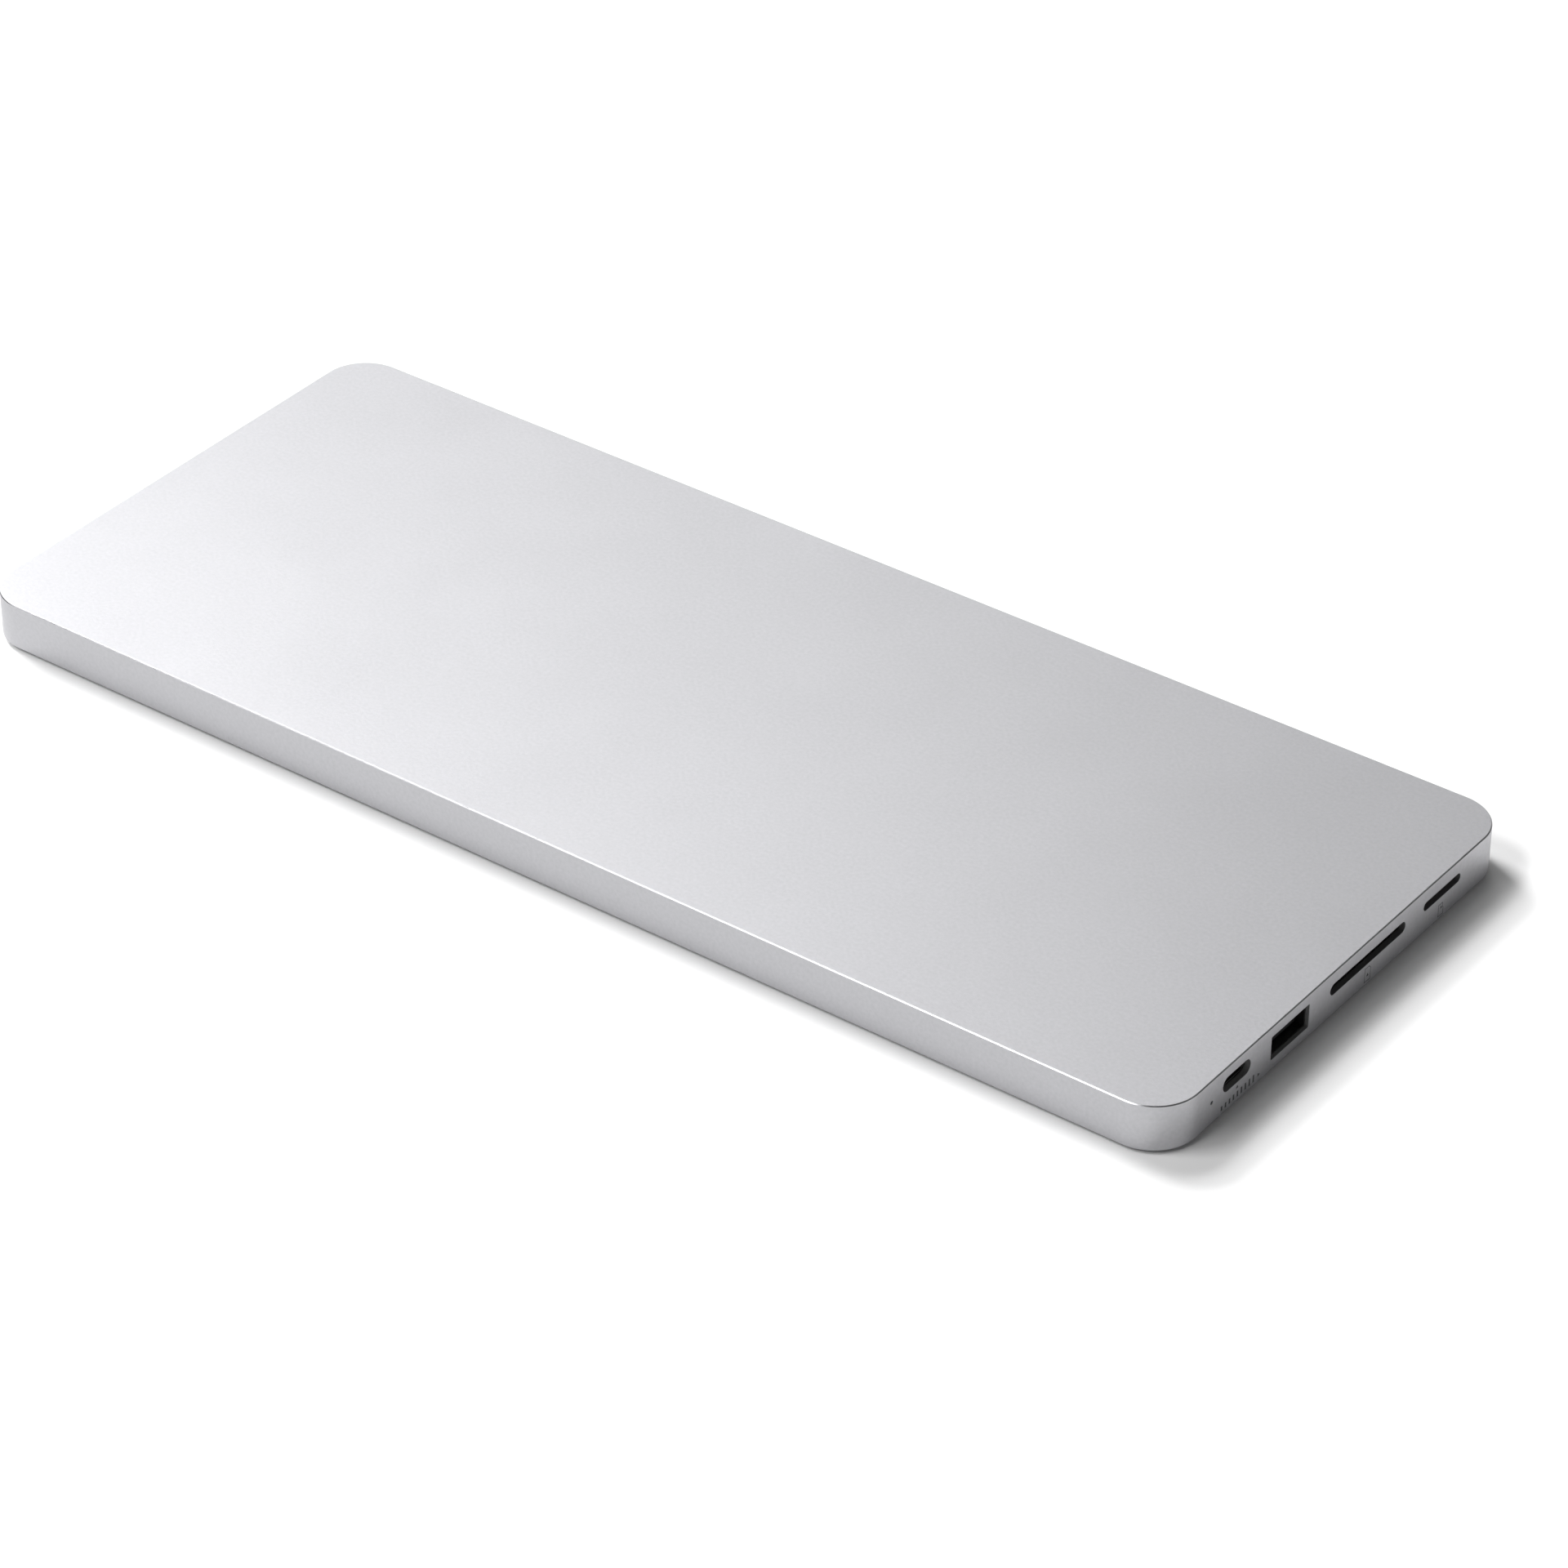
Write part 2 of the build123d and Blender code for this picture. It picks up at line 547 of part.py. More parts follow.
def usb_a_contacts(mouth, fast):
    """Four sprung contacts on the tongue's upper face, and five short ones nearer its tip if fast."""
    top = A_TONGUE_Y + A_TONGUE[1] / 2
    with BuildPart() as contacts:
        with BuildSketch(mouth.offset(-A_TONGUE_TIP - A_CONTACT_START)):
            with Locations(*[(x, top + A_CONTACT[1] / 2) for x in A_CONTACT_X]):
                Rectangle(A_CONTACT[0], A_CONTACT[1])
        extrude(amount=-A_CONTACT[2])
        if fast:
            with BuildSketch(mouth.offset(-A_TONGUE_TIP - A_FAST_START)):
                with Locations((0, top + A_FAST_CONTACT[1] / 2)):
                    with GridLocations(2.0, 0, 5, 1):
                        Rectangle(A_FAST_CONTACT[0], A_FAST_CONTACT[1])
            extrude(amount=-A_FAST_CONTACT[2])
    return contacts.part


USB_A_PORTS = [("usb_a_data", USB_A_MOUTH, True)]
USB_A_PORTS += [(f"usb_a_rear_{side}", mouth, False) for side, mouth in REAR_USB_A_MOUTHS.items()]
for name, mouth, fast in USB_A_PORTS:
    save(usb_a_shell(mouth), f"{name}_shell")
    save(usb_a_insulator(mouth), f"{name}_insulator")
    save(usb_a_contacts(mouth, fast), f"{name}_contacts")


# ---- card sockets: plastic base against the board, steel cover under it ----------------------
CARD_FINGER_SLOT = 0.5
CARD_FINGER_START = 3.0  # from the socket's closed end
CARD_CONTACT_THICK = 0.16


def card_base(mouth, card, rail, length, back):
    """Plate against the board with two side rails and a back wall round the card's space."""
    width, height = card
    roof = BOARD_Z - CARD_Z
    with BuildPart() as base:
        with BuildSketch(mouth.offset(-length)):
            with Locations((0, (roof - height / 2) / 2)):
                Rectangle(width + 2 * rail, roof + height / 2)
            Rectangle(width, height, mode=Mode.SUBTRACT)
        extrude(amount=length)
        with BuildSketch(mouth.offset(-length)):
            Rectangle(width, height)
        extrude(amount=back)
    return base.part


def card_cover(mouth, card, rail, length, sheet):
    """Folded steel sheet under the base, turned up along both sides."""
    width, height = card
    outer = width + 2 * rail + 2 * sheet
    side_tall = 0.7 * (BOARD_Z - CARD_Z) + height / 2
    with BuildPart() as cover:
        with BuildSketch(mouth.offset(-length)):
            with Locations((0, -height / 2 - sheet / 2)):
                Rectangle(outer, sheet)
            with Locations((0, side_tall / 2 - height / 2)):
                with GridLocations(outer - sheet, 0, 2, 1):
                    Rectangle(sheet, side_tall)
        extrude(amount=length)
        # two sprung fingers, shown by the slots beside them
        with BuildSketch(mouth.offset(-length + CARD_FINGER_START)):
            with Locations((0, -height / 2 - sheet / 2)):
                with GridLocations(width / 3, 0, 4, 1):
                    Rectangle(CARD_FINGER_SLOT, sheet)
        extrude(amount=length / 2.5, mode=Mode.SUBTRACT)
    return cover.part


def card_contacts(mouth, card, count, pitch, length, back):
    """Sprung contact strips under the base plate."""
    width, height = card
    with BuildPart() as contacts:
        with BuildSketch(mouth.offset(-length + back + 0.3)):
            with Locations((0, (height - CARD_CONTACT_THICK) / 2)):
                with GridLocations(pitch, 0, count, 1):
                    Rectangle(pitch * 0.45, CARD_CONTACT_THICK)
        extrude(amount=length * 0.3)
    return contacts.part


CARD_SOCKETS = [
    # name, mouth, card space, rail, length, back wall, sheet, contacts, contact pitch
    ("sd_socket", SD_MOUTH, (24.4, 2.3), 1.3, 27.5, 2.5, 0.2, 9, 2.5),
    ("micro_sd_socket", MICRO_SD_MOUTH, (11.3, 1.0), 1.5, 14.6, 1.6, 0.15, 8, 1.1),
]
for name, mouth, card, rail, length, back, sheet, count, pitch in CARD_SOCKETS:
    save(card_base(mouth, card, rail, length, back), f"{name}_base")
    save(card_cover(mouth, card, rail, length, sheet), f"{name}_cover")
    save(card_contacts(mouth, card, count, pitch, length, back), f"{name}_contacts")


# ---- status light --------------------------------------------------------------------------
PIPE_BLOCK = (2.4, 1.8)
PIPE_BEND_R = 0.8
LED_SIZE = (1.6, 0.8, 0.6)

with BuildPart() as light_pipe:
    block_x = END_X - SIDE_WALL - PORT_SETBACK - PIPE_BLOCK[0] / 2 - 0.2
    led_bottom = BOARD_Z - LED_SIZE[2]
    block_low = LED_Z - 0.7
    with Locations((block_x, LED_Y, (block_low + led_bottom) / 2)):
        Box(*PIPE_BLOCK, led_bottom - block_low)
    fillet(light_pipe.edges().filter_by(Axis.Y).sort_by(Axis.Z)[0:2].sort_by(Axis.X)[0], PIPE_BEND_R)
    with BuildSketch(Plane((block_x, LED_Y, LED_Z), x_dir=(0, 1, 0), z_dir=(1, 0, 0))):
        Circle(LED_HOLE_R - 0.05)
    extrude(amount=END_X - block_x - 0.1)
save(light_pipe.part, "light_pipe")

with BuildPart() as status_led:
    with Locations((block_x, LED_Y, BOARD_Z - LED_SIZE[2] / 2)):
        Box(*LED_SIZE)
save(status_led.part, "status_led")


# ---- chips and small parts soldered under the board -----------------------------------------
def soldered(places, size):
    """Plain packages of one size, standing out below the board."""
    return [Pos(x, y, BOARD_Z - size[2] / 2) * Box(*size) for x, y in places]


def chip(x, y, size):
    """One package with a chamfered face."""
    with BuildPart() as package:
        with Locations((x, y, BOARD_Z - size[2] / 2)):
            Box(*size)
        chamfer(package.edges().group_by(Axis.Z)[0], 0.12)
    return package.part


POWER_CHIP_PLACES = [(120, -36), (60, -28), (72, -36), (52, 26)]
INDUCTOR_PLACES = [(66, -28), (78, -36), (52, 33)]
CRYSTAL_PLACES = [(88, -24), (98, 19)]
TANTALUM_PLACES = [(x, -20) for x in (56, 61, 66, 71)]

save(chip(88, -14, (10.0, 10.0, 0.9)), "hub_controller_chip")
save(chip(64, 4, (9.0, 9.0, 0.9)), "drive_bridge_chip")
save(chip(98, 12, (7.0, 7.0, 0.85)), "card_reader_chip")
save(Compound([chip(x, y, (4.0, 4.0, 0.75)) for x, y in POWER_CHIP_PLACES]), "power_chips")
save(Compound(soldered(INDUCTOR_PLACES, (4.0, 4.0, 2.0))), "inductors")
save(Compound(soldered(CRYSTAL_PLACES, (3.2, 2.5, 0.7))), "crystals")
save(Compound(soldered(TANTALUM_PLACES, (3.5, 2.8, 1.9))), "tantalum_capacitors")
small_parts = [(x, y) for x in (80.5, 95.5) for y in (-20, -17, -14, -11, -8)]
small_parts += [(x, y) for x in (57.5, 70.5) for y in (-1, 2, 5, 8)]
small_parts += [(92.5, y) for y in (9, 12, 15)] + [(x, -31) for x in (112, 115, 118, 121)]
save(Compound(soldered(small_parts, (0.8, 1.6, 0.8))), "chip_capacitors")
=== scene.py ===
"""Looks of a slim slab-shaped USB hub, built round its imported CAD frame. Metres, in the CAD's own frame."""

import math

import bmesh
import bpy
from mathutils import Matrix, Vector


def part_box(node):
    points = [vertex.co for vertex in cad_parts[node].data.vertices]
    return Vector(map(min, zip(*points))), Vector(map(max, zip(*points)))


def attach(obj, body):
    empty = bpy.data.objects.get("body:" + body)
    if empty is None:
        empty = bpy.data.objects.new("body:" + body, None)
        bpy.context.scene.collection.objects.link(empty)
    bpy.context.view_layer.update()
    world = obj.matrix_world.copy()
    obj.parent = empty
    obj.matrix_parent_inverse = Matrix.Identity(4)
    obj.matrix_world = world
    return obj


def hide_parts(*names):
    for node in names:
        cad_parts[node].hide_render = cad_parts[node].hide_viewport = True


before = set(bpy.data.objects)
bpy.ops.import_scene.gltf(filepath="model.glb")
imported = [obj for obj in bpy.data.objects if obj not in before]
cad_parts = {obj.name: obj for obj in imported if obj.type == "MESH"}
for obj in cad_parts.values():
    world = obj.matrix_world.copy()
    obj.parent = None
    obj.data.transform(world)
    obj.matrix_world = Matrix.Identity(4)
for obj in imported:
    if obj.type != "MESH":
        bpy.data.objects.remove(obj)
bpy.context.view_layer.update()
MM = 0.001


# ---- camera --------------------------------------------------------------------------------
SENSOR_WIDTH = 36.0
# the rest is a rounded least-squares solution for the slab's edges in the photograph
CAMERA_LENS = 131.47
CAMERA_AZIMUTH = 36.48  # degrees from straight in front towards the right-hand end
CAMERA_ELEVATION = 34.70
CAMERA_ROLL = 0.33
CAMERA_TARGET = (21.5 * MM, -9.4 * MM, 5.0 * MM)
CAMERA_DISTANCE = 1097.4 * MM


def add_camera():
    """A long lens, seen from the front right and above."""
    data = bpy.data.cameras.new("camera")
    data.sensor_width = SENSOR_WIDTH
    data.lens = CAMERA_LENS
    data.clip_start = 0.05
    data.clip_end = 20.0
    camera = bpy.data.objects.new("camera", data)
    bpy.context.scene.collection.objects.link(camera)
    azimuth, elevation = math.radians(CAMERA_AZIMUTH), math.radians(CAMERA_ELEVATION)
    level = math.cos(elevation)
    back = Vector((math.sin(azimuth) * level, -math.cos(azimuth) * level, math.sin(elevation)))
    turn = back.to_track_quat("Z", "Y").to_matrix().to_4x4()
    turn = turn @ Matrix.Rotation(math.radians(CAMERA_ROLL), 4, "Z")
    camera.matrix_world = Matrix.Translation(Vector(CAMERA_TARGET) + back * CAMERA_DISTANCE) @ turn
    bpy.context.scene.camera = camera


add_camera()

# ---- sizes of the housing ------------------------------------------------------------------
# the outer box is read from the frame
body_low, body_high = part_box("top_housing")
HALF_X = body_high.x
HALF_Y = body_high.y
RIM_Z = body_low.z
TOP_Z = body_high.z
CORNER_R = 9.6 * MM
WALL = 1.2 * MM
TOP_THICK = 1.2 * MM
CHAMFER = 0.2 * MM
RIM_R = 0.30 * MM  # rounding of the walls' lower outer edge
SOFT = 0.03 * MM  # softening of the chamfer's two edges
HOLD = 0.12 * MM  # width of a narrow band that keeps the large face beside it flat in its shading
SHARP_ANGLE = 25  # degrees


# ---- node helpers --------------------------------------------------------------------------
class Nodes:
    """A new material and short ways to add nodes to it."""

    def __init__(self, name, metallic=0.0, roughness=0.5, colour=(0.5, 0.5, 0.5)):
        self.material = bpy.data.materials.new(name)
        self.material.use_nodes = True
        self.tree = self.material.node_tree
        self.shader = self.tree.nodes["Principled BSDF"]
        self.set(self.shader, Metallic=metallic, Roughness=roughness)
        self.shader.inputs["Base Color"].default_value = (*colour, 1)
        self.where = self.tree.nodes.new("ShaderNodeTexCoord").outputs["Object"]

    def set(self, node, **values):
        """Sets inputs by name, with underscores for the spaces in it."""
        for key, value in values.items():
            node.inputs[key.replace("_", " ")].default_value = value

    def link(self, a, b):
        self.tree.links.new(a, b)

    def stretched(self, scale):
        """Object coordinates scaled by a different number along each axis."""
        node = self.tree.nodes.new("ShaderNodeMapping")
        node.inputs["Scale"].default_value = scale
        self.link(self.where, node.inputs["Vector"])
        return node.outputs["Vector"]

    def noise(self, scale, detail=2.0, roughness=0.5, vector=None):
        node = self.tree.nodes.new("ShaderNodeTexNoise")
        self.set(node, Scale=scale, Detail=detail, Roughness=roughness)
        self.link(vector or self.where, node.inputs["Vector"])
        return node.outputs["Fac"]

    def cell_edges(self, scale):
        """Distance to the nearest edge of a pattern of irregular cells."""
        node = self.tree.nodes.new("ShaderNodeTexVoronoi")
        node.feature = "DISTANCE_TO_EDGE"
        self.set(node, Scale=scale)
        self.link(self.where, node.inputs["Vector"])
        return node.outputs["Distance"]

    def spread(self, value, low, high, start=0.0, end=1.0):
        """Maps start..end of a value to low..high."""
        node = self.tree.nodes.new("ShaderNodeMapRange")
        node.inputs["From Min"].default_value = start
        node.inputs["From Max"].default_value = end
        node.inputs["To Min"].default_value = low
        node.inputs["To Max"].default_value = high
        self.link(value, node.inputs["Value"])
        return node.outputs["Result"]

    def ramp(self, value, *stops):
        """Colours a value: each stop is a place from 0 to 1 and the colour there."""
        node = self.tree.nodes.new("ShaderNodeValToRGB")
        band = node.color_ramp
        while len(band.elements) < len(stops):
            band.elements.new(0.5)
        for element, (place, colour) in zip(band.elements, stops):
            element.position = place
            element.color = (*colour, 1)
        self.link(value, node.inputs["Fac"])
        return node.outputs["Color"]

    def add(self, a, b, share):
        """a plus share times b."""
        node = self.tree.nodes.new("ShaderNodeMath")
        node.operation = "MULTIPLY_ADD"
        node.inputs[1].default_value = share
        self.link(b, node.inputs[0])
        self.link(a, node.inputs[2])
        return node.outputs["Value"]

    def bump(self, height, strength, distance):
        node = self.tree.nodes.new("ShaderNodeBump")
        self.set(node, Strength=strength, Distance=distance)
        self.link(height, node.inputs["Height"])
        self.link(node.outputs["Normal"], self.shader.inputs["Normal"])

    def colour(self, output):
        self.link(output, self.shader.inputs["Base Color"])

    def rough(self, output):
        self.link(output, self.shader.inputs["Roughness"])


# ---- materials -----------------------------------------------------------------------------
COOL = (1.0, 1.0, 1.035)  # the faint blue of anodised aluminium


def grey(value, tint=(1.0, 1.0, 1.0)):
    """The same value three times, tinted."""
    return tuple(value * t for t in tint)


def blasted_aluminium(name, tone, roughness):
    """Bead-blasted, clear-anodised aluminium: tiny rounded pits and a faint cloudiness."""
    m = Nodes(name, metallic=1.0)
    pits = m.noise(3200, 3.0, 0.6)
    grain = m.noise(1300, 2.0, 0.5)
    cloud = m.noise(45, 3.0, 0.55)
    low, high = grey(tone * 0.95, COOL), grey(tone * 1.05, COOL)
    m.colour(m.ramp(m.add(grain, cloud, 0.25), (0.30, low), (0.85, high)))
    m.rough(m.spread(m.add(pits, cloud, 0.4), roughness - 0.03, roughness + 0.03, 0.4, 1.0))
    m.bump(m.add(pits, grain, 1.4), 0.5, 0.018 * MM)
    return m.material


def cut_metal(name, colour, roughness, along=(1, 1, 30), scale=900, relief=0.1):
    """Metal with fine tool or drawing lines: the lines are stretched along one axis."""
    m = Nodes(name, metallic=1.0)
    lines = m.noise(scale, 2.0, 0.5, m.stretched(along))
    m.colour(m.ramp(lines, (0.3, tuple(c * 0.94 for c in colour)), (0.7, colour)))
    m.rough(m.spread(lines, roughness * 0.8, roughness * 1.2, 0.3, 0.7))
    m.bump(lines, relief, 0.002 * MM)
    return m.material


def grained(name, low, high, roughness, scale, depth, strength=0.3):
    """Any fine-grained surface: moulded plastic, rubber, epoxy, ceramic or pressed powder."""
    m = Nodes(name)
    grain = m.noise(scale, 3.0, 0.6)
    patch = m.noise(scale / 25, 2.0, 0.5)
    uneven = m.add(grain, patch, 0.5)
    m.colour(m.ramp(uneven, (0.5, low), (1.0, high)))
    m.rough(m.spread(uneven, roughness - 0.06, roughness + 0.06, 0.4, 1.1))
    m.bump(grain, strength, depth)
    return m.material


def solder_mask(name):
    """Circuit board lacquer with the faint relief of the copper tracks under it."""
    m = Nodes(name)
    line = m.spread(m.cell_edges(420), 1.0, 0.0, 0.03, 0.09)
    pour = m.spread(m.cell_edges(95), 0.0, 1.0, 0.04, 0.09)
    cover = m.add(line, pour, 0.8)
    m.colour(m.ramp(cover, (0.1, (0.004, 0.017, 0.013)), (1.0, (0.010, 0.048, 0.034))))
    m.rough(m.spread(cover, 0.42, 0.30))
    m.bump(cover, 0.4, 0.03 * MM)
    return m.material


def clear_plastic(name):
    """Clear moulded acrylic with a faint haze; its grey colour is painted shade of the LED's pinhole."""
    m = Nodes(name, roughness=0.12, colour=(0.36, 0.37, 0.40))
    haze = m.noise(600, 2.0)
    m.rough(m.spread(haze, 0.08, 0.22, 0.3, 0.7))
    m.set(m.shader, Transmission_Weight=0.85, IOR=1.49)
    return m.material


def laser_mark(name):
    """Dark, slightly uneven laser marking on anodised metal."""
    m = Nodes(name)
    spots = m.noise(9000, 2.0)
    m.colour(m.ramp(spots, (0.3, (0.034, 0.034, 0.036)), (0.7, (0.062, 0.062, 0.065))))
    m.rough(m.spread(spots, 0.45, 0.65, 0.3, 0.7))
    m.bump(spots, 0.3, 0.004 * MM)
    return m.material


ALUMINIUM = blasted_aluminium("housing_blasted", 0.47, 0.42)
CUT_EDGE = cut_metal("housing_cut_edge", grey(0.46, COOL), 0.33, relief=0.02)
# the cut walls of the holes are aluminium; these dark greys are painted shade inside the holes, darker still
# in the narrow card slots
PORT_CUT_PAINTED_SHADE = grained("housing_port_cut_painted_shade", grey(0.165), grey(0.21), 0.46, 2200, 0.010 * MM)
SLOT_CUT_PAINTED_SHADE = grained("housing_slot_cut_painted_shade", grey(0.085), grey(0.11), 0.46, 2200, 0.010 * MM)
COVER = blasted_aluminium("cover_blasted", 0.42, 0.46)
DOOR = blasted_aluminium("door_blasted", 0.46, 0.42)
STEEL = cut_metal("plated_steel", (0.60, 0.59, 0.57), 0.28, (30, 1, 1), 700)
# the shells are plated steel; their very dark tone is painted shade inside the port openings
PORT_SHELL_PAINTED_SHADE = cut_metal("port_shell_steel_painted_shade", (0.13, 0.128, 0.125), 0.40, (12, 1, 1), 900)
SCREW = cut_metal("screw_nickel", (0.50, 0.49, 0.47), 0.26, (1, 1, 12), 1500)
GOLD = cut_metal("contact_gold", (0.80, 0.58, 0.27), 0.26, (1, 6, 1), 1200)
BRASS = cut_metal("standoff_brass", (0.72, 0.53, 0.24), 0.30, (1, 1, 12), 1500)
PLASTIC = grained("port_plastic", grey(0.006), grey(0.013), 0.42, 3500, 0.010 * MM)
RUBBER = grained("foot_rubber", grey(0.016), grey(0.034), 0.72, 2600, 0.030 * MM, 0.5)
PAD = grained("pad_silicone", (0.30, 0.36, 0.43), (0.42, 0.49, 0.56), 0.62, 1400, 0.040 * MM, 0.4)
EPOXY = grained("chip_epoxy", grey(0.012), grey(0.026), 0.52, 4200, 0.010 * MM)
FERRITE = grained("inductor_ferrite", grey(0.050), grey(0.105), 0.58, 2400, 0.020 * MM, 0.5)
TANTALUM = grained("tantalum_epoxy", (0.44, 0.27, 0.045), (0.58, 0.37, 0.075), 0.48, 3000, 0.010 * MM)
CERAMIC = grained("capacitor_ceramic", (0.30, 0.21, 0.13), (0.42, 0.31, 0.20), 0.45, 3800, 0.008 * MM)
FILM = grained("film_polyester", grey(0.012), grey(0.018), 0.34, 900, 0.010 * MM, 0.2)
LENS = grained("led_lens", (0.70, 0.72, 0.60), (0.82, 0.84, 0.74), 0.30, 1500, 0.006 * MM, 0.2)
MASK = solder_mask("board_mask")
# the light pipe's grey is painted shade of the LED's pinhole
PIPE_PAINTED_SHADE = clear_plastic("light_pipe_acrylic_painted_shade")
MARK = laser_mark("laser_mark")
SILK = grained("board_silkscreen", (0.62, 0.63, 0.60), (0.74, 0.75, 0.72), 0.60, 5000, 0.005 * MM)


# ---- mesh helpers --------------------------------------------------------------------------
def finish_mesh(name, bm, materials, sharp_angle=SHARP_ANGLE, rounded=()):
    """Turns a bmesh into an object with sharp edges where faces meet steeply.

    The faces in rounded are shaded apart from their neighbours, which keeps large flat faces flat.
    """
    bmesh.ops.recalc_face_normals(bm, faces=bm.faces)
    limit = math.radians(sharp_angle)
    for face in bm.faces:
        face.smooth = True
    for edge in bm.edges:
        sides = [face in rounded for face in edge.link_faces]
        if all(sides):
            edge.smooth = len(sides) == 2
        else:
            edge.smooth = len(sides) == 2 and not any(sides) and edge.calc_face_angle(0) < limit
    mesh = bpy.data.meshes.new(name)
    bm.to_mesh(mesh)
    bm.free()
    for material in materials:
        mesh.materials.append(material)
    piece = bpy.data.objects.new(name, mesh)
    bpy.context.scene.collection.objects.link(piece)
    return piece


def rounded_outline(half_x, half_y, radius, steps):
    """Points of a rounded rectangle, anticlockwise from +X."""
    points = []
    for corner, (sx, sy) in enumerate(((1, 1), (-1, 1), (-1, -1), (1, -1))):
        for i in range(steps + 1):
            angle = math.radians(90 * (corner + i / steps))
            points.append(
                (
                    sx * (half_x - radius) + radius * math.cos(angle),
                    sy * (half_y - radius) + radius * math.sin(angle),
                )
            )
    return points


def loft(bm, rings):
    """Skins rings of equal length, caps both ends, and returns the bands of faces between the rings."""
    made = [[bm.verts.new(p) for p in ring] for ring in rings]
    count = len(made[0])
    bands = []
    for low, high in zip(made, made[1:]):
        band = []
        for i in range(count):
            after = (i + 1) % count
            band.append(bm.faces.new((low[i], low[after], high[after], high[i])))
        bands.append(band)
    bm.faces.new(made[0][::-1])
    bm.faces.new(made[-1])
    return bands


def arc(radius, angles):
    """Points of a quarter round as distances from its two flat sides, for angles in degrees."""
    return [
        (radius * (1 - math.sin(math.radians(a))), radius * (1 - math.cos(math.radians(a)))) for a in angles
    ]


# ---- housing -------------------------------------------------------------------------------
# for each wall: the direction across its ports, and the direction out of the wall
PORT_OUT = {
    "right": (Vector((0, 1, 0)), Vector((1, 0, 0))),
    "back": (Vector((-1, 0, 0)), Vector((0, 1, 0))),
}
USB_C_WIDTH, USB_C_HEIGHT = 9.0 * MM, 3.2 * MM
USB_A_WIDTH, USB_A_HEIGHT, USB_A_CORNER_R = 12.6 * MM, 5.2 * MM, 0.25 * MM
SD_WIDTH, SD_HEIGHT = 25.9 * MM, 2.4 * MM
MICRO_SD_WIDTH, MICRO_SD_HEIGHT = 13.0 * MM, 1.9 * MM
CARD_Z = 6.87 * MM
LED_HOLE, LED_Z = 0.8 * MM, 5.83 * MM
RIM_FLARE = 0.04 * MM  # widening of a port at the outer face
CUT_DEPTH = 2.2 * WALL
POCKET_WALL = 0.8 * MM  # what is left of the wall in front of a pocket
POCKET_GROWTH = 0.45 * MM


def port_cutter(side, centre, width, height, radius):
    """A plug of a port's shape that flares at the outer face, so that the cut gets a fine softened rim.

    The USB-A ports also get a shallow pocket milled into the inside of the wall round them.
    """
    across, out = PORT_OUT[side]
    steps = [(-CUT_DEPTH, 0), (-RIM_FLARE, 0), (0, RIM_FLARE), (WALL, RIM_FLARE + WALL)]
    if width == USB_A_WIDTH:
        steps[:1] = [(-CUT_DEPTH, POCKET_GROWTH), (-POCKET_WALL, POCKET_GROWTH), (-POCKET_WALL, 0)]
    rings = []
    for depth, flare in steps:
        grown = rounded_outline(width / 2 + flare, height / 2 + flare, radius + flare, 10)
        rings.append([centre + across * u + Vector((0, 0, v)) + out * depth for u, v in grown])
    bm = bmesh.new()
    loft(bm, rings)
    # the cut faces get painted shade: the darker grey in the card slots, the lighter grey in the other holes
    return finish_mesh("cutter", bm, [SLOT_CUT_PAINTED_SHADE if width > USB_A_WIDTH else PORT_CUT_PAINTED_SHADE])


def middle(node):
    low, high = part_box(node)
    return (low + high) / 2


def port_places():
    """Every hole in the walls: side, centre on the outer face, width, height and corner radius."""
    usb_c = (USB_C_WIDTH, USB_C_HEIGHT, USB_C_HEIGHT / 2)
    usb_a = (USB_A_WIDTH, USB_A_HEIGHT, USB_A_CORNER_R)
    places = [
        ("right", middle("usb_c_data_insulator"), *usb_c),
        ("back", middle("usb_c_host_insulator"), *usb_c),
        ("right", middle("usb_a_data_insulator"), *usb_a),
        ("back", middle("usb_a_rear_left_insulator"), *usb_a),
        ("back", middle("usb_a_rear_right_insulator"), *usb_a),
    ]
    for node, width, height, z in (
        ("sd_socket_base", SD_WIDTH, SD_HEIGHT, CARD_Z),
        ("micro_sd_socket_base", MICRO_SD_WIDTH, MICRO_SD_HEIGHT, CARD_Z),
        ("status_led", LED_HOLE, LED_HOLE, LED_Z),
    ):
        centre = middle(node)
        centre.z = z
        places.append(("right", centre, width, height, height / 2))
    for side, centre, *_ in places:
        if side == "right":
            centre.x = HALF_X
        else:
            centre.y = HALF_Y
    return places


